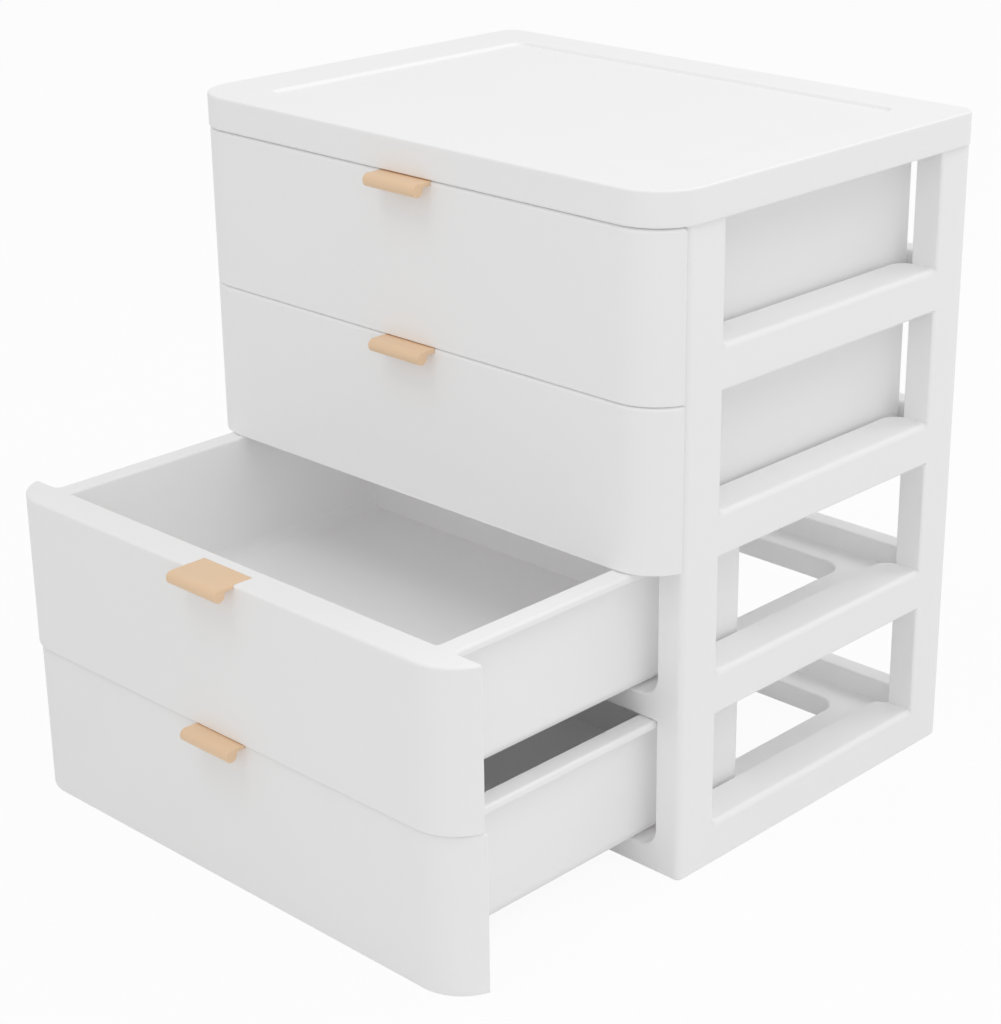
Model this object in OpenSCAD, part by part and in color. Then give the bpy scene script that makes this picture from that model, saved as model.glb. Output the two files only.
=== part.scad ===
// Desktop chest of four mini drawers: a stack of four moulded tier frames with open sides,
// a shallow-trayed top panel, and four one-piece drawers with edge-pull handles.
// X runs to the right, Y to the back and Z up. The chest stands on Z = 0.
// Tiers are numbered from the top: tier 1 is under the top panel, tier 4 is on the table.

/* [Top panel] */
// Width of the top panel, side to side
top_w = 250; // [220:1:290]
// Depth of the top panel, front to back
top_d = 184.5; // [170:0.5:215]
// Height of the top panel's skirt
top_h = 13; // [11:0.1:18]
// Plan radius of the two front corners, shared with the drawer fronts
front_corner_r = 20.5; // [16:0.5:26]
// Plan radius of the top panel's two rear corners
rear_corner_r = 7; // [6:0.5:12]
// Thickness of the top panel's upper wall
top_wall = 2.5; // [1.8:0.1:3.5]
// Depth of the shallow tray in the top
tray_depth = 1.2; // [0.6:0.1:2.5]
// Border between the tray and each side edge
tray_side_border = 25; // [15:0.5:40]
// Border between the tray and the front edge
tray_front_border = 22; // [15:1:40]
// Border between the tray and the rear edge
tray_rear_border = 20.5; // [15:0.5:40]
// Plan radius of the tray's corners
tray_corner_r = 4; // [2:0.5:10]
// Ribs under the top panel that run front to back
ribs_along = 8; // [2:1:14]
// Ribs under the top panel that run side to side
ribs_across = 6; // [2:1:10]
// Thickness of those ribs
rib_t = 1.6; // [1:0.1:2.5]
// Depth of those ribs
rib_h = 7; // [3:0.5:7.5]

/* [Tier frames] */
// Height of one tier, from its underside to the next
tier_h = 63.4; // [56:0.1:80]
// How far the top panel overhangs the frames at each side
side_overhang = 1.5; // [0.5:0.1:4]
// How far the top panel overhangs the frames at the rear
rear_overhang = 0.6; // [0.5:0.1:8]
// How far the frames stand back from the top panel's front
front_setback = 15.4; // [12:0.1:20]
// Gap between the top tier's posts and the top panel's skirt
skirt_lift = 0.2; // [0.1:0.1:2]
// Wall thickness of the frames and the skirt
wall = 2.2; // [1.6:0.1:2.6]
// Thickness of the corner posts, side to side
post_t = 12; // [10:0.1:15]
// Depth of the front posts
front_post_d = 19.7; // [15:0.1:26]
// Depth of the rear posts
rear_post_d = 20.1; // [14:0.1:24]
// Plan radius of the frame's two front corners
post_corner_r = 2.5; // [1:0.1:4]
// Plan radius of the frame's two rear corners
case_rear_r = 4; // [3:0.1:5]
// Height of the side rails
rail_h = 17.5; // [15:0.1:22]
// Width of the side rails, side to side
rail_w = 17.2; // [14:0.1:20]
// Plan radius of the rails' inner ends
rail_end_r = 7; // [4:0.5:9]
// Thickness of the shelf ring that carries a drawer
shelf_t = 9.6; // [7.5:0.1:12]
// Width of the opening in the shelf ring
opening_w = 174; // [120:1:182]
// Distance from the frame's front to the opening
opening_front = 21.6; // [20:0.1:30]
// Distance from the frame's rear to the opening
opening_rear = 21.9; // [12:0.1:30]
// Corner radius of the opening
opening_r = 9; // [4:0.5:15]
// Radius where the front crossbar meets the posts
portal_r = 8.5; // [5:0.1:11]
// Thickness of the rear crossbar, front to back
back_bar_t = 8.9; // [5.5:0.1:10]
// Height of the rear crossbar
back_bar_h = 19.2; // [14:0.1:26]
// Height of the spigot on each post
spigot_h = 6; // [3:0.1:7]
// Clearance round each spigot in its socket
spigot_gap = 0.2; // [0.1:0.05:0.5]

/* [Drawers] */
// Wall thickness of the drawers
drawer_wall = 2.2; // [1.6:0.1:2.8]
// Depth of the hollow drawer front
front_d = 14.8; // [10.5:0.1:15]
// How far the drawer fronts stand in from the top panel's outline
front_inset = 0.4; // [0:0.1:2]
// Height of a drawer front's lower edge above its tier's underside
front_z = 0.2; // [0.1:0.1:2]
// Gap between one drawer front and the next
front_gap = 0.4; // [0.3:0.1:3]
// Clearance between a drawer's sides and the rails
side_gap = 2.3; // [1:0.1:4]
// Running clearance between a drawer's floor and the shelf ring
floor_gap = 0.4; // [0.3:0.05:1]
// Clearance between a closed drawer and the rear crossbar
back_gap = 1.5; // [1:0.1:10]
// Radius of the drawer's lower edges
tub_edge_r = 7.5; // [4:0.5:12]
// Plan radius of the drawer's rear corners
tub_corner_r = 3; // [3:0.5:12]
// Height of the rim flange's outer edge
rim_h = 3.4; // [2.4:0.1:6]
// Clearance between the rim flange and the posts
rim_gap = 1; // [0.5:0.1:2]
// Radius of the hollow corner between the rim flange and the drawer front
rim_fillet_r = 2.2; // [1:0.1:2.3]
// How far the solid pad under a handle runs past the handle at each side
seat_pad_margin = 2.5; // [1.5:0.1:6]
// Distance from the closed drawer's rear face to the stop tabs
stop_inset = 21; // [16:0.5:40]
// Width of each stop tab
stop_w = 14; // [8:1:30]
// Thickness of each stop tab
stop_t = 2.5; // [1.5:0.1:4]
// How far the stop tabs hang below the drawer's floor
stop_h = 2.4; // [1.5:0.1:4]
// Distance between the centres of the two stop tabs
stop_spacing = 120; // [60:1:150]
// How far drawer 3 rests open
drawer_3_open = 100.4; // [0:0.1:105]
// How far drawer 4 rests open
drawer_4_open = 99.2; // [0:0.1:105]

/* [Handles] */
// Width of a handle
handle_w = 27; // [18:0.5:60]
// Thickness of the handle's plate
handle_t = 1.6; // [1.2:0.1:2]
// Depth of the handle's plate in the top of the drawer front
handle_seat = 9.4; // [6:0.1:9.6]
// Radius of the handle's round nose
nose_r = 2.55; // [1.8:0.05:3.5]
// How far the nose stands out from the drawer front
nose_reach = 8.4; // [7.5:0.1:14]
// Clearance round the plate in its seat
seat_gap = 0.05; // [0.05:0.05:0.4]
// Diameter of the two pegs under the plate
peg_d = 2.4; // [1.8:0.1:3]
// Length of the pegs
peg_l = 2.6; // [1.5:0.1:3]
// Distance between the pegs
peg_spacing = 16; // [8:0.5:40]
// Clearance round each peg in its hole
peg_gap = 0.1; // [0.05:0.05:0.3]

/* [Hidden] */
$fn = 64;

TIERS = 4;
PAST = 1;                                    // how far a cut runs past a face
TOUCH = 0.1;                                 // how far joined outlines run into each other
plastic_white = [0.93, 0.93, 0.92];
wood_tan = [0.87, 0.70, 0.50];

// Case, from the top panel inwards. Y is 0 at the top panel's front until centre() moves it.
case_w = top_w - 2 * side_overhang;
case_x = case_w / 2;
case_front = front_setback;
case_back = top_d - rear_overhang;
post_x = case_x - post_t;                    // inner face of the posts
rail_x = case_x - rail_w;                    // inner face of the rails
jamb_front = case_front + front_post_d;      // front of the side windows
jamb_back = case_back - rear_post_d;         // rear of the side windows
bar_front = case_back - back_bar_t;          // front of the rear crossbar
hole_front = case_front + opening_front;
hole_back = case_back - opening_rear;
top_z = TIERS * tier_h + skirt_lift;         // underside of the top panel's skirt
total_h = top_z + top_h;
top_wall_z = total_h - tray_depth - top_wall;

// Drawer, seen from its own tier's underside
tub_x = rail_x - side_gap;                   // outer side faces
tub_z = shelf_t + floor_gap;                 // underside
tub_back = bar_front - back_gap;             // rear face when closed
front_top = tier_h + front_z - front_gap;    // upper edge of the front and the rim
rim_x = post_x - rim_gap;                    // outer edge of the rim flange
seat_pad_h = handle_t + peg_l + drawer_wall; // solid pad under the handle's seat
stop_y = tub_back - stop_inset;              // front face of the stop tabs when closed

// The frame's origin is at the middle of the whole footprint with drawers 3 and 4 open.
open_by = [0, 0, drawer_3_open, drawer_4_open];
reach = max(open_by) + nose_reach;
centre_y = (top_d - reach) / 2;

function tier_z(tier) = (TIERS - tier) * tier_h;

// ---- Shared outlines and extrusions ----

// Rectangle between two X values and two Y values
module span(x0, x1, y0, y1) {
    translate([x0, y0]) square([x1 - x0, y1 - y0]);
}

// Rectangle of width w about X = 0, with round corners at its low and high ends
module round_span(w, y0, y1, r_low, r_high) {
    h = w / 2;
    span(-h, h, y0 + r_low, y1 - r_high);
    span(-h + r_low, h - r_low, y0, y1 - r_high);
    span(-h + r_high, h - r_high, y0 + r_low, y1);
    for (side = [-1, 1]) {
        translate([side * (h - r_low), y0 + r_low]) circle(r = r_low);
        translate([side * (h - r_high), y1 - r_high]) circle(r = r_high);
    }
}

// The same, with round corners at the low end only
module low_round_span(w, y0, y1, r) {
    h = w / 2;
    span(-h, h, y0 + r, y1);
    span(-h + r, h - r, y0, y1);
    for (side = [-1, 1]) translate([side * (h - r), y0 + r]) circle(r = r);
}

// Raises an outline drawn in X and Y from z0 to z1
module up(z0, z1) {
    translate([0, 0, z0]) linear_extrude(z1 - z0) children();
}

// Carries an outline drawn in X and Z from y0 to y1
module back(y0, y1) {
    translate([0, y1, 0]) rotate([90, 0, 0]) linear_extrude(y1 - y0) children();
}

// Carries an outline drawn in Y and Z across a width about X = 0
module across(w) {
    translate([-w / 2, 0, 0]) rotate([90, 0, 90]) linear_extrude(w) children();
}

// Repeats a shape at both sides
module both_sides() {
    children();
    mirror([1, 0, 0]) children();
}

// Moves a shape from the case's own Y to the shared frame
module centre() {
    translate([0, -centre_y, 0]) children();
}

// ---- Corner posts: outlines shared by the posts, sockets and spigots ----

// The two posts' outlines at the right, drawn in by a margin all round
module post_outlines(inset = 0) {
    corner = [case_x - case_rear_r, case_back - case_rear_r];
    span(post_x + inset, case_x - inset, case_front + inset, jamb_front - inset);
    span(post_x + inset, corner.x, jamb_back + inset, case_back - inset);
    span(post_x + inset, case_x - inset, jamb_back + inset, corner.y);
    translate(corner) circle(r = case_rear_r - inset);
}

// ---- Tier frame ----

// Front wall of a tier: two posts and a crossbar with a round-cornered way through
module portal() {
    back(case_front, jamb_front) difference() {
        span(-case_x, case_x, 0, tier_h);
        low_round_span(2 * post_x, shelf_t, tier_h + PAST, portal_r);
    }
}

// Plan of the right side rail, with its inner corners rounded
module rail_outline(inset = 0) {
    r = rail_end_r;
    x0 = rail_x + inset;
    y0 = jamb_front - wall;
    y1 = jamb_back;
    span(x0 + r, case_x - inset, y0, y1);
    span(x0, case_x - inset, y0, y1 - r);
    translate([x0 + r, y1 - r]) circle(r = r);
}

// Everything a tier is made of, before it is hollowed
module tier_solid() {
    intersection() {
        union() {
            portal();
            up(0, shelf_t) span(-case_x, case_x, case_front, case_back);
            both_sides() up(0, rail_h) rail_outline();
            both_sides() up(0, tier_h) post_outlines();
            up(0, back_bar_h) span(-post_x - PAST, post_x + PAST, bar_front, case_back);
        }
        up(0, tier_h) round_span(case_w, case_front, case_back, post_corner_r, case_rear_r);
    }
    both_sides() up(tier_h - PAST, tier_h + spigot_h) post_outlines(wall + spigot_gap);
}

// Channel under the shelf ring, clear of the post sockets
module ring_channel() {
    difference() {
        union() {
            up(-PAST, shelf_t - wall) difference() {
                span(-case_x + wall, case_x - wall, case_front + wall, case_back - wall);
                round_span(opening_w + 2 * wall, hole_front - wall, hole_back + wall,
                           opening_r + wall, opening_r + wall);
            }
            both_sides() up(-PAST, rail_h - wall)
                span(rail_x + wall, case_x - wall, jamb_front, jamb_back - rail_end_r);
            up(-PAST, back_bar_h - wall)
                span(-post_x, post_x, bar_front + wall, case_back - wall);
        }
        both_sides() up(-2 * PAST, tier_h) post_outlines();
    }
}

module tier_frame(tier) {
    centre() translate([0, 0, tier_z(tier)]) color(plastic_white) difference() {
        tier_solid();
        up(-PAST, shelf_t + PAST)
            round_span(opening_w, hole_front, hole_back, opening_r, opening_r);
        ring_channel();
        both_sides() up(-PAST, tier_h - wall) post_outlines(wall);
    }
}

// ---- Top panel ----

// Plan of the top panel, drawn in by a margin all round
module top_outline(inset = 0) {
    round_span(top_w - 2 * inset, inset, top_d - inset, front_corner_r - inset,
               rear_corner_r - inset);
}

module top_ribs() {
    pitch_x = top_w / (ribs_along + 1);
    pitch_y = top_d / (ribs_across + 1);
    up(top_wall_z - rib_h, top_wall_z + PAST) intersection() {
        top_outline(wall / 2);
        union() {
            for (i = [1:ribs_along]) {
                x = -top_w / 2 + i * pitch_x;
                span(x - rib_t / 2, x + rib_t / 2, 0, top_d);
            }
            for (i = [1:ribs_across]) {
                y = i * pitch_y;
                span(-top_w / 2, top_w / 2, y - rib_t / 2, y + rib_t / 2);
            }
        }
    }
}

module top_panel() {
    centre() color(plastic_white) difference() {
        union() {
            difference() {
                up(top_z, total_h) top_outline();
                up(top_z - PAST, top_wall_z) top_outline(wall);
            }
            top_ribs();
            both_sides() up(top_z - skirt_lift, top_wall_z + PAST) post_outlines();
        }
        up(total_h - tray_depth, total_h + PAST)
            round_span(top_w - 2 * tray_side_border, tray_front_border,
                       top_d - tray_rear_border, tray_corner_r, tray_corner_r);
        both_sides() up(top_z - skirt_lift - PAST, top_z - skirt_lift + spigot_h + PAST)
            post_outlines(wall);
    }
}

// ---- Drawer ----

// Plan of the drawer front, drawn in by a margin all round
module front_outline(inset = 0) {
    y0 = front_inset + inset;
    intersection() {
        low_round_span(top_w - 2 * y0, y0, front_corner_r + PAST, front_corner_r - y0);
        span(-top_w / 2, top_w / 2, 0, front_d - inset);
    }
}

// Tub of the drawer as a solid, drawn in by a margin at its sides, floor and rear
module tub(inset, y0) {
    r_edge = tub_edge_r - inset;
    r_corner = tub_corner_r - inset;
    w = 2 * (tub_x - inset);
    intersection() {
        back(y0, tub_back - inset)
            low_round_span(w, tub_z + inset, front_top + inset, r_edge);
        up(tub_z, front_top + inset) round_span(w, y0, tub_back - inset, r_corner, r_corner);
    }
}

// Flange along the top of both sides, with a hollow corner where it meets the front
module rim() {
    r = rim_fillet_r;
    both_sides() up(front_top - rim_h, front_top) {
        span(tub_x - drawer_wall / 2, rim_x, front_d - drawer_wall / 2, tub_back - tub_corner_r);
        difference() {
            span(rim_x - TOUCH, rim_x + r, front_d - TOUCH, front_d + r);
            translate([rim_x + r, front_d + r]) circle(r = r);
        }
    }
}

// Tabs under the floor that meet the ring's front crossbar when the drawer is fully out
module stop_tabs() {
    for (side = [-1, 1]) up(tub_z - stop_h, tub_z + drawer_wall / 2)
        translate([side * stop_spacing / 2, 0])
            span(-stop_w / 2, stop_w / 2, stop_y, stop_y + stop_t);
}

// Seat for the handle's plate and pegs
module handle_seat_cut() {
    w = handle_w + 2 * seat_gap;
    floor_z = front_top - handle_t;
    up(floor_z, front_top + PAST) span(-w / 2, w / 2, -PAST, handle_seat + seat_gap);
    for (side = [-1, 1]) translate([side * peg_spacing / 2, handle_seat / 2, floor_z - peg_l - peg_gap])
        cylinder(d = peg_d + 2 * peg_gap, h = peg_l + peg_gap + PAST);
}

module drawer(tier) {
    pad_w = handle_w + 2 * seat_pad_margin;
    centre() translate([0, -open_by[tier - 1], tier_z(tier)]) color(plastic_white) difference() {
        union() {
            difference() {
                union() {
                    up(front_z, front_top) front_outline();
                    tub(0, front_d - drawer_wall);
                    rim();
                }
                up(front_z - PAST, front_top - drawer_wall) front_outline(drawer_wall);
                tub(drawer_wall, front_d);
            }
            up(front_top - seat_pad_h, front_top - drawer_wall / 2)
                span(-pad_w / 2, pad_w / 2, drawer_wall / 2, front_d - drawer_wall / 2);
            stop_tabs();
        }
        handle_seat_cut();
    }
}

// ---- Handle ----

// Edge pull: a flat plate in the top of the front, ending in a round nose
module handle(tier) {
    nose_y = -nose_reach + nose_r;
    centre() translate([0, -open_by[tier - 1], tier_z(tier) + front_top]) color(wood_tan) {
        across(handle_w) {
            span(nose_y, handle_seat, -handle_t, 0);
            translate([nose_y, -nose_r]) circle(r = nose_r);
        }
        for (side = [-1, 1])
            translate([side * peg_spacing / 2, handle_seat / 2, -handle_t - peg_l])
                cylinder(d = peg_d, h = peg_l + handle_t / 2);
    }
}

top_panel();
tier_frame(1);  // tier_frame_1
tier_frame(2);  // tier_frame_2
tier_frame(3);  // tier_frame_3
tier_frame(4);  // tier_frame_4
drawer(1);  // drawer_1
drawer(2);  // drawer_2
drawer(3);  // drawer_3
drawer(4);  // drawer_4
handle(1);  // handle_1
handle(2);  // handle_2
handle(3);  // handle_3
handle(4);  // handle_4
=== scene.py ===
"""Looks of a desktop chest of four mini drawers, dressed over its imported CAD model.

The chest is a stack of moulded white plastic. The top panel and the handles are surfaces worked out here.
The tier frames and the drawers are copies of their CAD solids with their outward edges softened, as a mould
leaves them. All places are in metres, in the frame of the CAD model: X to the right, Y to the back, Z up.
"""

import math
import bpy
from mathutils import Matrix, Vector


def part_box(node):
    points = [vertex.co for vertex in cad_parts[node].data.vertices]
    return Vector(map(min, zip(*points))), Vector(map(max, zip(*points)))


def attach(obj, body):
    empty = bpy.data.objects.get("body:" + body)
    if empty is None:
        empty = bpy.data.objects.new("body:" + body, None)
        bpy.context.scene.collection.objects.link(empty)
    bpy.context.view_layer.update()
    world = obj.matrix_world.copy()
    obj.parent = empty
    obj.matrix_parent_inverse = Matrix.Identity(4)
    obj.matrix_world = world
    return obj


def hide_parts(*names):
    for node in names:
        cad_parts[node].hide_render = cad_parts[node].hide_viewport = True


bl_info = {
    "name": "Desktop Mini Drawers",
    "version": (1, 0, 0),
    "blender": (4, 5, 0),
    "location": "View3D > Sidebar > Mini Drawers",
    "description": "Builds a desktop chest of four mini drawers over its CAD frame, with light and camera",
    "category": "Add Mesh",
}

import bmesh
import bpy
import numpy as np
from bpy.props import FloatProperty, FloatVectorProperty, IntProperty, PointerProperty

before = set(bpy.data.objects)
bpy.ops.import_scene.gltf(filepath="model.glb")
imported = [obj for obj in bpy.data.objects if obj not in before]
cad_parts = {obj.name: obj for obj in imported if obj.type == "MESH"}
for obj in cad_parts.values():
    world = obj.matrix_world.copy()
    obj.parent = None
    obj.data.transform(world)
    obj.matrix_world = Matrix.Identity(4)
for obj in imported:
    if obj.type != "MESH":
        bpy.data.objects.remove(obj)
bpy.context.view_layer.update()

MM = 0.001
TIERS = (1, 2, 3, 4)                    # from the top down, as the CAD nodes are numbered

WELD = 0.002 * MM                       # points of a CAD mesh closer than this are one point
FLAT_DEG = 0.6                          # faces that turn less than this are one face
CREASE_DEG = 30.0                       # edges that turn more than this are softened
CALM = 3 * MM                           # how far from a corner a round edge's shading is kept apart
FLAT = 0.8 * MM                         # how near to a round edge a flat face's shading is already flat
LEAST_CORNER = 0.2 * MM                 # the least plan radius that a corner keeps when it is drawn in

POST_T = 12 * MM                        # thickness of the frames' corner posts, side to side
FRONT_POST_D = 19.7 * MM                # depth of the front posts
REAR_POST_D = 20.1 * MM                 # depth of the rear posts
RAIL_H = 17.5 * MM                      # height of the side rails
OUTER_WALL = 1.5 * MM                   # a frame's edges this near to its outside lie on its outer walls

SEAT_MARGIN = 0.6 * MM                  # edges this near to a drawer's handle belong to the handle's seat,
SEAT_DEPTH = 3 * MM                     # down to this far under the handle,
SEAT_SPAN = 1.1                         # if they are shorter than this share of the handle's width
FRONT_RIM = 8 * MM                      # a drawer's top edges this near to its front are outer ones,
SIDE_RIM = 110 * MM                     # and so are those farther out than this from its middle


# ---- Sizes and colours ----


class TopPanelSizes(bpy.types.PropertyGroup):
    """Sizes of the top panel that its CAD box doesn't give"""

    front_corner: FloatProperty(
        name="Front corners", description="Plan radius of the two front corners",
        default=20.5 * MM, min=5 * MM, max=30 * MM, unit="LENGTH")
    rear_corner: FloatProperty(
        name="Rear corners", description="Plan radius of the two rear corners",
        default=7 * MM, min=3 * MM, max=20 * MM, unit="LENGTH")
    case_corner: FloatProperty(
        name="Case corners", description="Plan radius of the case's rear corners, shared by the rear sockets",
        default=4 * MM, min=3 * MM, max=5 * MM, unit="LENGTH")
    skirt: FloatProperty(
        name="Skirt", description="Height of the panel's skirt",
        default=13 * MM, min=8 * MM, max=20 * MM, unit="LENGTH")
    wall: FloatProperty(
        name="Wall", description="Thickness of the skirt",
        default=2.2 * MM, min=1.5 * MM, max=3 * MM, unit="LENGTH")
    roof: FloatProperty(
        name="Upper wall", description="Thickness of the wall under the tray",
        default=2.5 * MM, min=1.5 * MM, max=4 * MM, unit="LENGTH")
    edge: FloatProperty(
        name="Upper edge", description="Radius of the edge round the top",
        default=0.7 * MM, min=0.3 * MM, max=2 * MM, unit="LENGTH")
    tray_depth: FloatProperty(
        name="Tray depth", description="Depth of the shallow tray",
        default=1.2 * MM, min=0.5 * MM, max=2.5 * MM, unit="LENGTH")
    tray_side: FloatProperty(
        name="Side border", description="Border between the tray and each side",
        default=25 * MM, min=10 * MM, max=40 * MM, unit="LENGTH")
    tray_front: FloatProperty(
        name="Front border", description="Border between the tray and the front",
        default=22 * MM, min=10 * MM, max=40 * MM, unit="LENGTH")
    tray_rear: FloatProperty(
        name="Rear border", description="Border between the tray and the rear",
        default=20.5 * MM, min=10 * MM, max=40 * MM, unit="LENGTH")
    tray_corner: FloatProperty(
        name="Tray corners", description="Plan radius of the tray's corners",
        default=4 * MM, min=2 * MM, max=15 * MM, unit="LENGTH")
    tray_slope: FloatProperty(
        name="Tray slope", description="Width of the soft step down into the tray",
        default=1.4 * MM, min=0.6 * MM, max=6 * MM, unit="LENGTH")
    ribs_along: IntProperty(
        name="Ribs, front to back", description="Ribs under the panel that run front to back",
        default=8, min=2, max=14)
    ribs_across: IntProperty(
        name="Ribs, side to side", description="Ribs under the panel that run side to side",
        default=6, min=2, max=10)
    rib_thickness: FloatProperty(
        name="Rib thickness", description="Thickness of the ribs",
        default=1.6 * MM, min=1 * MM, max=2.5 * MM, unit="LENGTH")
    rib_depth: FloatProperty(
        name="Rib depth", description="Depth of the ribs",
        default=7 * MM, min=3 * MM, max=7.5 * MM, unit="LENGTH")
    socket_depth: FloatProperty(
        name="Socket depth", description="Depth of the sockets that take the posts' spigots",
        default=7 * MM, min=4 * MM, max=8 * MM, unit="LENGTH")
    socket_corner: FloatProperty(
        name="Socket corners", description="Plan radius of the sockets' other corners",
        default=0.6 * MM, min=0.3 * MM, max=3 * MM, unit="LENGTH")
    skirt_lip: FloatProperty(
        name="Skirt lip", description="Radius of the skirt's two lower edges",
        default=0.5 * MM, min=0.1 * MM, max=1 * MM, unit="LENGTH")
    socket_lip: FloatProperty(
        name="Socket lip", description="Chamfer of the sockets' lower edges",
        default=0.12 * MM, min=0.05 * MM, max=0.5 * MM, unit="LENGTH")
    hold: FloatProperty(
        name="Hold", description="How far the ribs and sockets run up into the upper wall",
        default=0.4 * MM, min=0.1 * MM, max=1 * MM, unit="LENGTH")


class EdgeSizes(bpy.types.PropertyGroup):
    """Radii to which the mouldings' edges are softened"""

    plain: FloatProperty(
        name="Plain edge", description="Radius of most edges of the frames and drawers",
        default=1.0 * MM, min=0.2 * MM, max=1.05 * MM, unit="LENGTH")
    rail: FloatProperty(
        name="Rail edge", description="Radius of the side rails' upper outer edges",
        default=2.4 * MM, min=0.5 * MM, max=3 * MM, unit="LENGTH")
    rail_inner: FloatProperty(
        name="Inner rail edge", description="Radius of the side rails' upper inner edges",
        default=0.4 * MM, min=0.1 * MM, max=1.5 * MM, unit="LENGTH")
    rim: FloatProperty(
        name="Rim edge", description="Radius of the upper outer edges of the drawers",
        default=1.3 * MM, min=0.3 * MM, max=1.8 * MM, unit="LENGTH")
    under: FloatProperty(
        name="Lower edge", description="Radius of the drawer fronts' lower edges",
        default=0.2 * MM, min=0.1 * MM, max=1 * MM, unit="LENGTH")
    foot: FloatProperty(
        name="Foot edge", description="Radius of the outer edge that the lowest frame stands in",
        default=1.2 * MM, min=0.3 * MM, max=1.8 * MM, unit="LENGTH")
    seam: FloatProperty(
        name="Seam edge", description="Radius where two pieces meet in a fine line",
        default=0.12 * MM, min=0.05 * MM, max=0.4 * MM, unit="LENGTH")


class HandleSizes(bpy.types.PropertyGroup):
    """Sizes of a handle that its CAD box doesn't give"""

    plate: FloatProperty(
        name="Plate", description="Thickness of the handle's plate",
        default=1.6 * MM, min=1 * MM, max=2.2 * MM, unit="LENGTH")
    root: FloatProperty(
        name="Nose root", description="Radius of the hollow between the round nose and the plate",
        default=0.8 * MM, min=0.2 * MM, max=0.9 * MM, unit="LENGTH")
    end: FloatProperty(
        name="End edges", description="Radius of the edges at the handle's two ends",
        default=0.35 * MM, min=0.1 * MM, max=0.6 * MM, unit="LENGTH")
    heel: FloatProperty(
        name="Heel edges", description="Chamfer of the plate's two rear edges",
        default=0.2 * MM, min=0.05 * MM, max=0.6 * MM, unit="LENGTH")
    peg_diameter: FloatProperty(
        name="Peg", description="Diameter of the two pegs under the plate",
        default=2.4 * MM, min=1.5 * MM, max=3 * MM, unit="LENGTH")
    peg_length: FloatProperty(
        name="Peg length", description="Length of the pegs",
        default=2.6 * MM, min=1 * MM, max=3 * MM, unit="LENGTH")
    peg_spacing: FloatProperty(
        name="Peg spacing", description="Distance between the two pegs",
        default=16 * MM, min=8 * MM, max=22 * MM, unit="LENGTH")


class Finish(bpy.types.PropertyGroup):
    """Colours of the two plastics, how even they are and how much they shine"""

    white: FloatVectorProperty(
        name="White plastic", description="Colour of the frames, drawers and top panel",
        subtype="COLOR", size=3, min=0, max=1, default=(0.935, 0.932, 0.933))
    tan: FloatVectorProperty(
        name="Tan plastic", description="Colour of the handles",
        subtype="COLOR", size=3, min=0, max=1, default=(0.86, 0.615, 0.4))
    mottle: FloatProperty(
        name="Mottle", description="How far the white drifts across a moulding; the tan drifts twice as far",
        default=0.012, min=0, max=0.1, subtype="FACTOR")
    white_gloss: FloatVectorProperty(
        name="White gloss", description="Least and greatest roughness of the white plastic",
        size=2, min=0, max=1, default=(0.42, 0.56))
    tan_gloss: FloatVectorProperty(
        name="Tan gloss", description="Least and greatest roughness of the tan plastic",
        size=2, min=0, max=1, default=(0.36, 0.5))
    white_grain: FloatProperty(
        name="White grain", description="Strength of the white plastic's mould grain",
        default=0.25, min=0, max=1, subtype="FACTOR")
    tan_grain: FloatProperty(
        name="Tan grain", description="Strength of the tan plastic's mould grain",
        default=0.3, min=0, max=1, subtype="FACTOR")


class Studio(bpy.types.PropertyGroup):
    """Strengths of the studio's light, and the camera's place"""

    front: FloatProperty(
        name="Front lamp", description="Power of the soft lamp high in front",
        default=2.2, min=0, max=200, unit="POWER")
    right: FloatProperty(
        name="Right lamp", description="Power of the soft lamp high at the right",
        default=2.0, min=0, max=200, unit="POWER")
    low: FloatProperty(
        name="Low lamp", description="Power of the soft lamp low at the right front",
        default=0.9, min=0, max=200, unit="POWER")
    rear: FloatProperty(
        name="Rear lamp", description="Power of the soft lamp high behind",
        default=4.3, min=0, max=200, unit="POWER")
    surround: FloatProperty(
        name="Surround", description="Strength of the even light from all round",
        default=0.71, min=0, max=2)
    bounces: IntProperty(
        name="Bounces", description="How often light is sent on between the white walls",
        default=12, min=0, max=64)
    floor_white: FloatProperty(
        name="Floor white", description="Share of plain white in what the camera sees of the floor",
        default=0.93, min=0, max=1, subtype="FACTOR")
    camera_place: FloatVectorProperty(
        name="Camera", description="Where the camera stands",
        subtype="TRANSLATION", size=3, default=(0.62148, -0.61458, 0.46035))
    camera_turn: FloatVectorProperty(
        name="Camera turn", description="The camera's tilt, roll and heading",
        subtype="EULER", size=3,
        default=tuple(math.radians(a) for a in (68.092, -0.078, 42.565)))
    camera_lens: FloatProperty(
        name="Lens", description="Focal length of the camera, in millimetres",
        default=83.07, min=20, max=200)
    camera_shift: FloatVectorProperty(
        name="Shift", description="Sideways and upward shift of the picture, as a share of its longer side",
        size=2, default=(-0.0875, 0.002))


class MiniDrawersSettings(bpy.types.PropertyGroup):
    """Everything that the chest is built from"""

    top: PointerProperty(type=TopPanelSizes)
    edges: PointerProperty(type=EdgeSizes)
    handles: PointerProperty(type=HandleSizes)
    finish: PointerProperty(type=Finish)
    studio: PointerProperty(type=Studio)


# ---- Surfaces on a grid ----


def even(start, stop, steps):
    """The numbers from start to stop in even steps, both ends included."""
    return np.linspace(start, stop, steps + 1)


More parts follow.
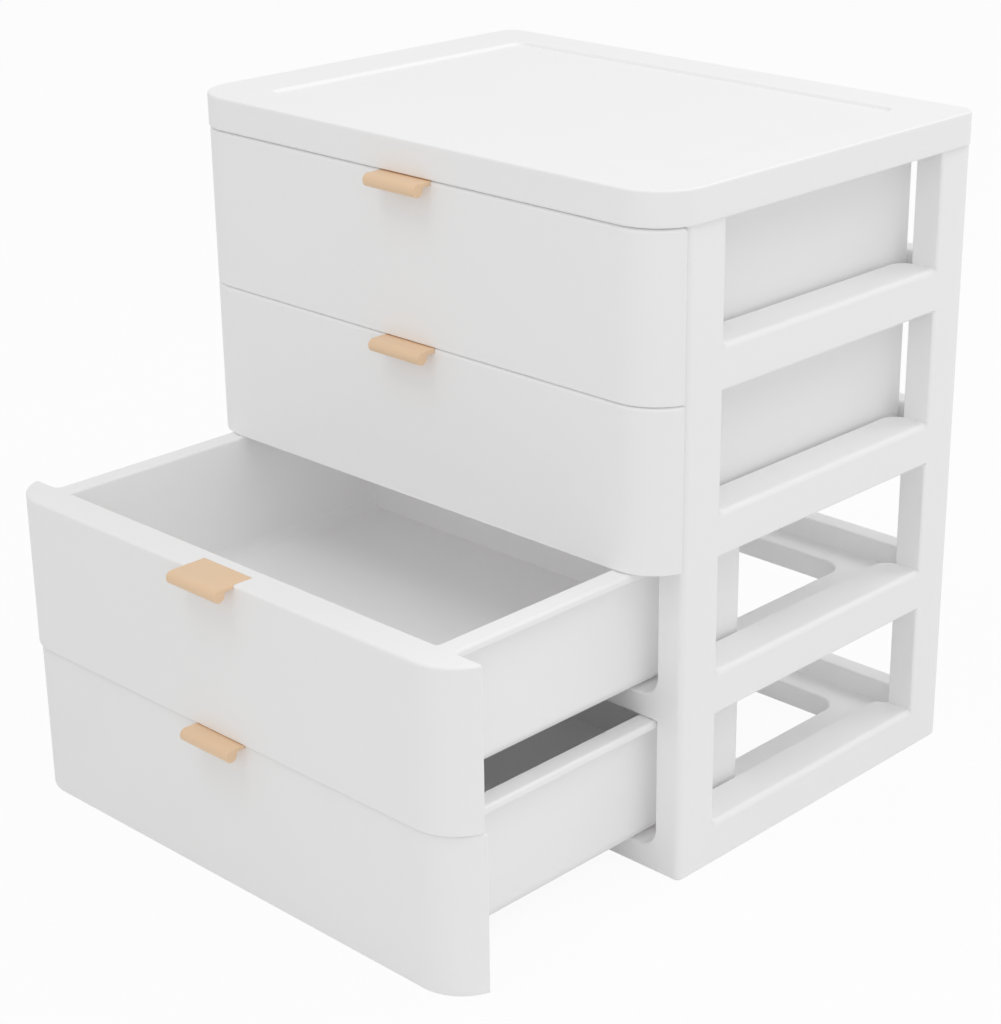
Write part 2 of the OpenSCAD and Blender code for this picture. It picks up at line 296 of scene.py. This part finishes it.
def outline_box(low, high, inset, radii, arc_steps=10, side_steps=4):
    """Plan of a rectangle with round corners, drawn in by inset, as points counter-clockwise.

    The radii are those of the right front, right rear, left rear and left front corner. Each corner is its
    arc's centre plus radius times (cos a, sin a), with a running a quarter turn. Each straight side runs
    evenly from one arc's end to the next one's start.
    """
    x0, y0 = low[0] + inset, low[1] + inset
    x1, y1 = high[0] - inset, high[1] - inset
    rf, rr, lr, lf = np.maximum(np.subtract(radii, inset), LEAST_CORNER)
    corners = ((x1 - rf, y0 + rf, rf, -90), (x1 - rr, y1 - rr, rr, 0),
               (x0 + lr, y1 - lr, lr, 90), (x0 + lf, y0 + lf, lf, 180))
    arcs = []
    for cx, cy, r, start in corners:
        a = np.radians(start + even(0, 90, arc_steps))
        arcs.append(np.stack([cx + r * np.cos(a), cy + r * np.sin(a)], axis=-1))
    t = even(0, 1, side_steps)[1:-1, None]
    runs = []
    for arc, following in zip(arcs, arcs[1:] + arcs[:1]):
        runs += [arc, arc[-1] * (1 - t) + following[0] * t]
    return np.concatenate(runs)


def lift(outline, z):
    """A plan outline raised to height z, as one row of a grid."""
    return np.column_stack([outline, np.full(len(outline), z)])


def grid_mesh(name, rows):
    """Closed mesh from rows of equally many points: point (i, j) of the surface is rows[i][j].

    Each row closes on itself, quads join it to the next row, and one flat face caps each end row.
    """
    grid = np.asarray(rows, dtype=float)
    n_rows, n_cols = grid.shape[:2]
    index = np.arange(n_rows * n_cols).reshape(n_rows, n_cols)
    ahead = np.roll(index, -1, axis=1)
    faces = np.stack([index[:-1], ahead[:-1], ahead[1:], index[1:]], axis=-1).reshape(-1, 4).tolist()
    faces.append(index[0, ::-1].tolist())
    faces.append(index[-1].tolist())
    mesh = bpy.data.meshes.new(name)
    mesh.from_pydata(grid.reshape(-1, 3).tolist(), [], faces)
    return mesh


def joined(name, meshes):
    """One mesh from several, which are removed."""
    bm = bmesh.new()
    for mesh in meshes:
        bm.from_mesh(mesh)
        bpy.data.meshes.remove(mesh)
    mesh = bpy.data.meshes.new(name)
    bm.to_mesh(mesh)
    bm.free()
    return mesh


def fillet(radius, steps=6):
    """Offsets round a convex edge: (r (1 - cos a), r (1 - sin a)) for a from 0 to a quarter turn.

    The first is the way in from the side face, the second the way down from the top face, so the rows
    climb the side and then turn over the edge.
    """
    a = even(0, math.pi / 2, steps)
    return np.column_stack([radius * (1 - np.cos(a)), radius * (1 - np.sin(a))])


def shaded(mesh):
    """Smooth shading that breaks at creases."""
    mesh.shade_smooth()
    mesh.set_sharp_from_angle(angle=math.radians(CREASE_DEG))
    return mesh


def placed(mesh, body, material, slot, *stands_for):
    """The piece of a mesh, in the scene, riding on its body and standing for its CAD nodes."""
    piece = bpy.data.objects.new(mesh.name, mesh)
    bpy.context.scene.collection.objects.link(piece)
    mesh.materials.clear()
    mesh.materials.append(material)
    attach(piece, body)
    if stands_for:
        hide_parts(*stands_for)
    return piece


# ---- Softened copies of the CAD solids ----


def welded_copy(node):
    """Editable copy of a CAD node's mesh, with its points welded and its flat faces joined up."""
    bm = bmesh.new()
    bm.from_mesh(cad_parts[node].data)
    bmesh.ops.remove_doubles(bm, verts=bm.verts, dist=WELD)
    bmesh.ops.dissolve_limit(bm, angle_limit=math.radians(FLAT_DEG), verts=bm.verts, edges=bm.edges)
    return bm


def cut_across(bm, axis, places):
    """Cuts every face along planes square to an axis, so that no face rings a hole.

    A round edge can then change its radius at a cut. The cuts are marked as seams, and the lines that the
    solid's own triangles had left across a face that ringed a hole are dissolved between them.
    """
    for place in places:
        point = [0.0] * 3
        point[axis] = place
        normal = [0.0] * 3
        normal[axis] = 1.0
        cut = bmesh.ops.bisect_plane(bm, geom=bm.verts[:] + bm.edges[:] + bm.faces[:], dist=WELD,
                                     plane_co=point, plane_no=normal)
        for element in cut["geom_cut"]:
            if isinstance(element, bmesh.types.BMEdge):
                element.seam = True
    bmesh.ops.dissolve_limit(bm, angle_limit=math.radians(FLAT_DEG), verts=bm.verts, edges=bm.edges,
                             delimit={"SEAM"})


def weighted(bm, name, radius_of, largest):
    """Mesh whose outward creases carry the radius that radius_of gives for their ends, over the largest."""
    share = bm.edges.layers.float.new("bevel_weight_edge")
    crease = math.radians(CREASE_DEG)
    for edge in bm.edges:
        if len(edge.link_faces) == 2 and edge.is_convex and edge.calc_face_angle() > crease:
            a, b = (np.array(v.co) for v in edge.verts)
            edge[share] = radius_of(a, b) / largest
    mesh = bpy.data.meshes.new(name)
    bm.to_mesh(mesh)
    bm.free()
    if "custom_normal" in mesh.attributes:
        mesh.attributes.remove(mesh.attributes["custom_normal"])
    return shaded(mesh)


def round_off(piece, largest):
    """Give the piece a bevel that turns its weighted creases into round edges."""
    bevel = piece.modifiers.new("Soft edges", "BEVEL")
    bevel.limit_method = "WEIGHT"
    bevel.width = largest
    bevel.segments = 4
    bevel.use_clamp_overlap = False
    bevel.loop_slide = False
    bevel.harden_normals = True
    bevel.miter_outer = "MITER_ARC"


# ---- Materials ----


def noise(material, place, scale, detail):
    """Value of a noise texture at the place, with about scale waves to the metre."""
    texture = material.node_tree.nodes.new("ShaderNodeTexNoise")
    texture.inputs["Scale"].default_value = scale
    texture.inputs["Detail"].default_value = detail
    material.node_tree.links.new(place, texture.inputs["Vector"])
    return texture.outputs["Fac"]


def plastic(name, colour, mottle, gloss, grain):
    """Moulded plastic: a colour that drifts a little, an uneven sheen and a fine mould grain."""
    material = bpy.data.materials.new(name)
    material.use_nodes = True
    nodes, links = material.node_tree.nodes, material.node_tree.links
    shader = nodes["Principled BSDF"]
    shader.inputs["IOR"].default_value = 1.48
    place = nodes.new("ShaderNodeTexCoord").outputs["Object"]

    tint = nodes.new("ShaderNodeMix")
    tint.data_type = "RGBA"
    tint.inputs["A"].default_value = (*[c * (1 - mottle) for c in colour], 1)
    tint.inputs["B"].default_value = (*[min(c * (1 + mottle), 1) for c in colour], 1)
    links.new(noise(material, place, scale=9.0, detail=3.0), tint.inputs["Factor"])
    links.new(tint.outputs["Result"], shader.inputs["Base Color"])

    rough = nodes.new("ShaderNodeMapRange")
    rough.inputs["To Min"].default_value = gloss[0]
    rough.inputs["To Max"].default_value = gloss[1]
    links.new(noise(material, place, scale=60.0, detail=4.0), rough.inputs["Value"])
    links.new(rough.outputs["Result"], shader.inputs["Roughness"])

    bump = nodes.new("ShaderNodeBump")
    bump.inputs["Strength"].default_value = grain
    bump.inputs["Distance"].default_value = 0.05 * MM
    links.new(noise(material, place, scale=1400.0, detail=2.0), bump.inputs["Height"])
    links.new(bump.outputs["Normal"], shader.inputs["Normal"])
    return material


def white_plastic():
    """The satin white of the frames, drawers and top panel, made once."""
    name = "White plastic"
    finish = bpy.context.scene.mini_drawers.finish
    return bpy.data.materials.get(name) or plastic(
        name, finish.white, finish.mottle, finish.white_gloss, finish.white_grain)


def tan_plastic():
    """The satin tan of the handles, made once."""
    name = "Tan plastic"
    finish = bpy.context.scene.mini_drawers.finish
    return bpy.data.materials.get(name) or plastic(
        name, finish.tan, finish.mottle * 2, finish.tan_gloss, finish.tan_grain)


# ---- Pieces ----


def panel_corners(top):
    """Plan radii of the top panel's corners, in the order that outline_box takes them."""
    return (top.front_corner, top.rear_corner, top.rear_corner, top.front_corner)


def roof_height(top, high):
    """Height of the underside of the top panel's upper wall."""
    return high.z - top.tray_depth - top.roof


def post_plans(low, high):
    """Plans of a frame's four corner posts, each as its range of X and its range of Y."""
    front = (low.y, low.y + FRONT_POST_D)
    rear = (high.y - REAR_POST_D, high.y)
    left = (low.x, low.x + POST_T)
    right = (high.x - POST_T, high.x)
    return [(x, y) for x in (left, right) for y in (front, rear)]


class MINIDRAWERS_OT_top_panel(bpy.types.Operator):
    """Build the top panel: its shell with the shallow tray, the ribs under it and the four sockets"""

    bl_idname = "mini_drawers.top_panel"
    bl_label = "Top panel"

    def execute(self, context):
        top = context.scene.mini_drawers.top
        low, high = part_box("top_panel")
        shell = shaded(self.shell(top, low, high))
        placed(shell, "case", white_plastic(), "white_plastic", "top_panel")
        ribs = shaded(self.ribs(top, low, high))
        placed(ribs, "case", white_plastic(), "white_plastic")
        sockets = shaded(self.sockets(top, low, high))
        placed(sockets, "case", white_plastic(), "white_plastic")
        return {"FINISHED"}

    @staticmethod
    def shell(top, low, high):
        """Shell as one closed loft of round-cornered outlines.

        The rows start round the upper wall's underside, run down the skirt's inner face, round its lower
        edge, up the outer face, over the filleted upper edge and across the border, and then down the step
        into the tray, whose depth is the smooth curve 3 t^2 - 2 t^3. They end round the tray's floor.
        """
        skirt_z = high.z - top.skirt
        lip_z = skirt_z + top.skirt_lip
        tray_z = high.z - top.tray_depth
        tray_low = (low.x + top.tray_side, low.y + top.tray_front)
        tray_high = (high.x - top.tray_side, high.y - top.tray_rear)
        half = top.tray_slope / 2
        lip = fillet(top.skirt_lip, steps=4)

        def panel(inset, z):
            return lift(outline_box(low, high, inset, panel_corners(top)), z)

        def tray(inset, z):
            return lift(outline_box(tray_low, tray_high, inset, [top.tray_corner] * 4), z)

        rows = [panel(top.wall, roof_height(top, high))]
        rows += [panel(top.wall, lip_z + FLAT), panel(top.wall, lip_z)]
        rows += [panel(top.wall - dx, skirt_z + dz) for dx, dz in lip[1:]]
        rows += [panel(dx, skirt_z + dz) for dx, dz in lip[:0:-1]]
        rows += [panel(0, lip_z), panel(0, lip_z + FLAT)]
        rows += [panel(0, high.z - top.edge - FLAT), panel(0, high.z - top.edge)]
        rows += [panel(dx, high.z - dz) for dx, dz in fillet(top.edge)[1:]]
        rows += [panel(top.edge + FLAT, high.z), tray(-half - FLAT, high.z)]
        for t in even(0, 1, steps=8):
            rows.append(tray(t * top.tray_slope - half, high.z - top.tray_depth * (3 * t**2 - 2 * t**3)))
        rows.append(tray(half + FLAT, tray_z))
        return grid_mesh("top_panel_shell", rows)

    @staticmethod
    def ribs(top, low, high):
        """Ribs as one mesh: each is a flat bar with a round lower edge, carried straight from skirt to skirt.

        Across a rib, its lower edge is a half circle: half its thickness times (cos a, sin a), with a running
        from half a turn to a whole one. Its ends lie in the middle of the skirt's wall.
        """
        roof_z = roof_height(top, high)
        half = top.rib_thickness / 2
        a = even(math.pi, 2 * math.pi, steps=8)
        across = np.concatenate([[-half], half * np.cos(a), [half]])
        heights = np.concatenate([[roof_z + top.hold], roof_z - top.rib_depth + half + half * np.sin(a),
                                  [roof_z + top.hold]])
        outline = outline_box(low, high, top.wall / 2, panel_corners(top), arc_steps=24)

        def reach(places, axis):
            """First and last point, on the other axis, of the line at each place within the outline."""
            other = outline[:, 1 - axis]
            middle = (other.min() + other.max()) / 2
            ends = []
            for half_outline in (outline[other < middle], outline[other >= middle]):
                order = np.argsort(half_outline[:, axis])
                ends.append(np.interp(places, half_outline[order, axis], half_outline[order, 1 - axis]))
            return ends

        meshes = []
        for axis, count in ((0, top.ribs_along), (1, top.ribs_across)):
            places = even(low[axis], high[axis], steps=count + 1)[1:-1]
            for place, start, stop in zip(places, *reach(places, axis)):
                rows = []
                for along in (start, stop):
                    points = np.empty((len(across), 3))
                    points[:, axis] = place + across
                    points[:, 1 - axis] = along
                    points[:, 2] = heights
                    rows.append(points)
                if axis == 0:
                    rows.reverse()
                meshes.append(grid_mesh("rib", rows))
        return joined("top_panel_ribs", meshes)

    @staticmethod
    def sockets(top, low, high):
        """Sockets as one mesh, over the posts of the uppermost frame.

        Each is a loft of round-cornered outlines, which start round the hole's blind end, run down the hole,
        round the lower rim and up outside into the panel.
        """
        frame_low, frame_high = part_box("tier_frame_1")
        blind_z = low.z + top.socket_depth
        lip = top.socket_lip
        plain, case = top.socket_corner, top.case_corner
        corners = ([plain] * 4, [plain, plain, case, plain], [plain] * 4, [plain, case, plain, plain])
        meshes = []
        for (x, y), radii in zip(post_plans(frame_low, frame_high), corners):
            plan_low, plan_high = (x[0], y[0]), (x[1], y[1])

            def row(inset, z):
                return lift(outline_box(plan_low, plan_high, inset, radii, arc_steps=8, side_steps=1), z)

            rows = [row(top.wall, blind_z), row(top.wall, low.z + lip), row(top.wall - lip, low.z),
                    row(lip, low.z), row(0, low.z + lip), row(0, roof_height(top, high) + top.hold)]
            meshes.append(grid_mesh("socket", rows))
        return joined("top_panel_sockets", meshes)


class MINIDRAWERS_OT_tier_frames(bpy.types.Operator):
    """Build the four tier frames from their CAD solids, with their edges softened"""

    bl_idname = "mini_drawers.tier_frames"
    bl_label = "Tier frames"

    def execute(self, context):
        edges = context.scene.mini_drawers.edges
        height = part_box("tier_frame_3")[0].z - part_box("tier_frame_4")[0].z
        for tier in TIERS:
            node = f"tier_frame_{tier}"
            low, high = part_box(node)
            top = low.z + height
            middle_x = high.x - POST_T / 2
            jamb_front = low.y + FRONT_POST_D
            jamb_back = high.y - REAR_POST_D
            bm = welded_copy(node)
            cut_across(bm, 0, [0, middle_x, -middle_x, high.x - POST_T, low.x + POST_T])
            cut_across(bm, 1, [jamb_front, jamb_front + CALM, (low.y + high.y) / 2,
                               jamb_back - CALM, jamb_back])
            cut_across(bm, 2, [low.z + RAIL_H + CALM, top - CALM])
            radius_of = self.radii(edges, low, high, top, stands=tier == TIERS[-1])
            mesh = weighted(bm, f"{node}_moulding", radius_of, edges.rail)
            piece = placed(mesh, "case", white_plastic(), "white_plastic", node)
            round_off(piece, edges.rail)
        return {"FINISHED"}

    @staticmethod
    def radii(edges, low, high, top, stands):
        """Function that gives the radius of a frame's edge from its two ends.

        Edges inside the hollow foot, above the frame's top and round a post's end that meets another piece
        stay sharp.
        """
        plans = post_plans(low, high)

        def within(value, reach):
            return reach[0] - WELD <= value <= reach[1] + WELD

        def radius(a, b):
            x, y, z = (a + b) / 2
            level = abs(a[2] - b[2]) < WELD
            in_post = any(within(x, reach_x) and within(y, reach_y) for reach_x, reach_y in plans)
            on_joint = abs(z - top) < WELD or (not stands and abs(z - low.z) < WELD)
            outside = min(high.x - abs(x), y - low.y, high.y - y) < OUTER_WALL
            if z > top + WELD or (level and on_joint and in_post):
                return 0.0
            if level and abs(z - low.z - RAIL_H) < WELD:
                return edges.rail if outside else edges.rail_inner
            if level and abs(z - low.z) < WELD:
                return edges.foot if outside else 0.0
            return edges.plain

        return radius


class MINIDRAWERS_OT_drawers(bpy.types.Operator):
    """Build the four drawers from their CAD solids, with their edges softened"""

    bl_idname = "mini_drawers.drawers"
    bl_label = "Drawers"

    def execute(self, context):
        edges = context.scene.mini_drawers.edges
        for tier in TIERS:
            node = f"drawer_{tier}"
            bm = welded_copy(node)
            cut_across(bm, 0, [0])
            radius_of = self.radii(edges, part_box(node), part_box(f"handle_{tier}"))
            mesh = weighted(bm, f"{node}_moulding", radius_of, edges.rim)
            piece = placed(mesh, node, white_plastic(), "white_plastic", node)
            round_off(piece, edges.rim)
        return {"FINISHED"}

    @staticmethod
    def radii(edges, drawer_box, handle_box):
        """Function that gives the radius of a drawer's edge from its two ends."""
        low, high = drawer_box
        handle_low, handle_high = handle_box

        def radius(a, b):
            x, y, z = (a + b) / 2
            level = abs(a[2] - b[2]) < WELD
            over_seat = abs(x) < handle_high.x + SEAT_MARGIN and y < handle_high.y + SEAT_MARGIN
            short = abs(a[0] - b[0]) < 2 * handle_high.x * SEAT_SPAN
            if over_seat and short and z > handle_low.z - SEAT_DEPTH:
                return edges.seam
            if level and abs(z - high.z) < WELD:
                outer = y < low.y + FRONT_RIM or abs(x) > SIDE_RIM
                return edges.rim if outer else edges.plain
            if level and abs(z - low.z) < WELD:
                return edges.under
            return edges.plain

        return radius


class MINIDRAWERS_OT_handles(bpy.types.Operator):
    """Build the four edge pulls, each a flat plate that ends in a round nose"""

    bl_idname = "mini_drawers.handles"
    bl_label = "Handles"

    def execute(self, context):
        sizes = context.scene.mini_drawers.handles
        for tier in TIERS:
            node = f"handle_{tier}"
            low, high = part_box(node)
            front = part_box(f"drawer_{tier}")[0].y
            meshes = [self.pull(sizes, low, high)] + self.pegs(sizes, front, high)
            mesh = joined(f"{node}_pull", meshes)
            placed(shaded(mesh), f"drawer_{tier}", tan_plastic(), "tan_plastic", node)
        return {"FINISHED"}

    @staticmethod
    def section(sizes, low, high):
        """Outline of the pull in Y and Z.

        A straight top runs forward to the nose, a circle that touches it. The nose's arc ends where a hollow
        of the root radius touches both it and the plate's underside: the hollow's centre lies a root radius
        under the plate, and both radii away from the nose's centre.
        """
        nose_r = (high.z - low.z) / 2
        nose = np.array([low.y + nose_r, high.z - nose_r])
        rise = nose_r - sizes.plate - sizes.root
        meet = math.asin(rise / (nose_r + sizes.root))
        hollow = nose + (nose_r + sizes.root) * np.array([math.cos(meet), math.sin(meet)])
        turn = even(math.pi / 2, 2 * math.pi + meet, steps=39)
        arc = nose + nose_r * np.column_stack([np.cos(turn), np.sin(turn)])
        turn = even(math.pi + meet, math.pi / 2, steps=8)[1:]
        root = hollow + sizes.root * np.column_stack([np.cos(turn), np.sin(turn)])
        under_z = high.z - sizes.plate
        heel = np.array([[high.y - sizes.heel, under_z], [high.y, under_z + sizes.heel],
                         [high.y, high.z - sizes.heel], [high.y - sizes.heel, high.z],
                         [nose[0] + FLAT, high.z]])
        return np.concatenate([arc, root, heel])

    @classmethod
    def pull(cls, sizes, low, high):
        """Plate and nose as the section carried along X, drawn in along its own normals round both ends.

        Round an end, for a from 0 to a quarter turn, the section is drawn in by r (1 - cos a) where it still
        has r (1 - sin a) to go, so both ends get an edge of radius r.
        """
        section = cls.section(sizes, low, high)
        along = np.roll(section, -1, axis=0) - np.roll(section, 1, axis=0)
        along /= np.linalg.norm(along, axis=1, keepdims=True)
        inward = np.column_stack([-along[:, 1], along[:, 0]])
        a = even(0, math.pi / 2, steps=4)
        to_go = sizes.end * (1 - np.sin(a))
        drawn_in = sizes.end * (1 - np.cos(a))
        places = np.concatenate([low.x + to_go[::-1], high.x - to_go])
        insets = np.concatenate([drawn_in[::-1], drawn_in])
        rows = [np.column_stack([np.full(len(section), x), section + inward * inset])
                for x, inset in zip(places, insets)]
        return grid_mesh("pull", rows)

    @staticmethod
    def pegs(sizes, front, high):
        """Pegs as upright cylinders: circles of the peg's radius at two heights, midway along the seat."""
        a = even(0, 2 * math.pi, steps=24)[:-1]
        circle = sizes.peg_diameter / 2 * np.column_stack([np.cos(a), np.sin(a)])
        top_z = high.z - sizes.plate / 2
        foot_z = high.z - sizes.plate - sizes.peg_length
        meshes = []
        for side in (-1, 1):
            centre = np.array([side * sizes.peg_spacing / 2, (front + high.y) / 2])
            meshes.append(grid_mesh("peg", [lift(circle + centre, foot_z), lift(circle + centre, top_z)]))
        return meshes


# ---- Studio ----


class MINIDRAWERS_OT_stage(bpy.types.Operator):
    """Set the pale floor, the soft lamps, the surround and the camera"""

    bl_idname = "mini_drawers.stage"
    bl_label = "Stage"

    def execute(self, context):
        studio = context.scene.mini_drawers.studio
        self.floor(half=4.0, white=studio.floor_white)
        self.surround(context.scene, studio.surround)
        self.lamp("Front lamp", studio.front, place=(0.0, -0.7, 1.5), width=0.5)
        self.lamp("Right lamp", studio.right, place=(1.0, 0.0, 1.35), width=0.8)
        self.lamp("Low lamp", studio.low, place=(1.1, -0.9, 0.5), width=0.8)
        self.lamp("Rear lamp", studio.rear, place=(0.5, 1.1, 1.3), width=0.8)
        self.camera(context.scene, studio)
        context.scene.view_settings.view_transform = "Standard"
        context.scene.cycles.diffuse_bounces = studio.bounces
        return {"FINISHED"}

    @staticmethod
    def floor(half, white):
        """Plain pale floor, twice half a side, that looks white to the camera and keeps a faint shadow."""
        mesh = bpy.data.meshes.new("Floor")
        corners = [(-half, -half, 0), (half, -half, 0), (half, half, 0), (-half, half, 0)]
        mesh.from_pydata(corners, [], [(0, 1, 2, 3)])
        floor = bpy.data.objects.new("Floor", mesh)
        bpy.context.scene.collection.objects.link(floor)
        material = bpy.data.materials.new("White floor")
        material.use_nodes = True
        nodes, links = material.node_tree.nodes, material.node_tree.links
        diffuse = nodes["Principled BSDF"]
        diffuse.inputs["Base Color"].default_value = (0.8, 0.8, 0.8, 1)
        diffuse.inputs["Roughness"].default_value = 0.9
        glow = nodes.new("ShaderNodeEmission")
        glow.inputs["Strength"].default_value = 1.0
        path = nodes.new("ShaderNodeLightPath")
        seen = nodes.new("ShaderNodeMath")
        seen.operation = "MAXIMUM"
        links.new(path.outputs["Is Camera Ray"], seen.inputs[0])
        links.new(path.outputs["Is Glossy Ray"], seen.inputs[1])
        share = nodes.new("ShaderNodeMath")
        share.operation = "MULTIPLY"
        share.inputs[1].default_value = white
        links.new(seen.outputs[0], share.inputs[0])
        mix = nodes.new("ShaderNodeMixShader")
        links.new(share.outputs[0], mix.inputs["Fac"])
        links.new(diffuse.outputs[0], mix.inputs[1])
        links.new(glow.outputs[0], mix.inputs[2])
        links.new(mix.outputs[0], nodes["Material Output"].inputs["Surface"])
        mesh.materials.append(material)

    @staticmethod
    def surround(scene, strength):
        """Even pale light from all round, which the camera sees as white."""
        world = bpy.data.worlds.new("Surround")
        scene.world = world
        world.use_nodes = True
        nodes, links = world.node_tree.nodes, world.node_tree.links
        background = nodes["Background"]
        background.inputs["Color"].default_value = (1, 1, 1, 1)
        path = nodes.new("ShaderNodeLightPath")
        seen = nodes.new("ShaderNodeMath")
        seen.operation = "MAXIMUM"
        links.new(path.outputs["Is Camera Ray"], seen.inputs[0])
        links.new(path.outputs["Is Transmission Ray"], seen.inputs[1])
        level = nodes.new("ShaderNodeMapRange")
        level.inputs["To Min"].default_value = strength
        level.inputs["To Max"].default_value = 1.0
        links.new(seen.outputs[0], level.inputs["Value"])
        links.new(level.outputs["Result"], background.inputs["Strength"])

    @staticmethod
    def lamp(name, power, place, width, target=(0.0, 0.0, 0.13)):
        """Soft square lamp that faces its target, which is the middle of the chest.

        It is tilted up from straight down by the angle to its target, and then headed the target's way.
        """
        light = bpy.data.lights.new(name, "AREA")
        light.size = width
        light.energy = power
        lamp = bpy.data.objects.new(name, light)
        bpy.context.scene.collection.objects.link(lamp)
        lamp.location = place
        x, y, z = np.subtract(target, place)
        lamp.rotation_euler = (math.atan2(math.hypot(x, y), -z), 0, math.atan2(-x, y))

    @staticmethod
    def camera(scene, studio):
        """Camera at the three-quarter view from the right."""
        lens = bpy.data.cameras.new("Camera")
        lens.lens = studio.camera_lens
        lens.sensor_width = 36.0
        lens.shift_x, lens.shift_y = studio.camera_shift
        lens.clip_start = 0.01
        camera = bpy.data.objects.new("Camera", lens)
        scene.collection.objects.link(camera)
        camera.location = studio.camera_place
        camera.rotation_euler = studio.camera_turn
        scene.camera = camera


class MINIDRAWERS_PT_panel(bpy.types.Panel):
    """Buttons and sizes of the chest of mini drawers"""

    bl_idname = "MINIDRAWERS_PT_panel"
    bl_label = "Mini Drawers"
    bl_space_type = "VIEW_3D"
    bl_region_type = "UI"
    bl_category = "Mini Drawers"

    def draw(self, context):
        settings = context.scene.mini_drawers
        for operator in OPERATORS:
            self.layout.operator(operator.bl_idname)
        for group in (settings.top, settings.edges, settings.handles, settings.finish, settings.studio):
            box = self.layout.box()
            for name in group.__annotations__:
                box.prop(group, name)


OPERATORS = (MINIDRAWERS_OT_top_panel, MINIDRAWERS_OT_tier_frames, MINIDRAWERS_OT_drawers,
             MINIDRAWERS_OT_handles, MINIDRAWERS_OT_stage)
CLASSES = (TopPanelSizes, EdgeSizes, HandleSizes, Finish, Studio, MiniDrawersSettings,
           *OPERATORS, MINIDRAWERS_PT_panel)


def register():
    """Register the classes and hang the settings on the scene."""
    for cls in CLASSES:
        bpy.utils.register_class(cls)
    bpy.types.Scene.mini_drawers = PointerProperty(type=MiniDrawersSettings)


def unregister():
    """Take the settings and classes away again."""
    del bpy.types.Scene.mini_drawers
    for cls in reversed(CLASSES):
        bpy.utils.unregister_class(cls)


def main():
    """Build every piece in order."""
    register()
    bpy.ops.mini_drawers.top_panel()
    bpy.ops.mini_drawers.tier_frames()
    bpy.ops.mini_drawers.drawers()
    bpy.ops.mini_drawers.handles()
    bpy.ops.mini_drawers.stage()


if __name__ == "__main__":
    main()
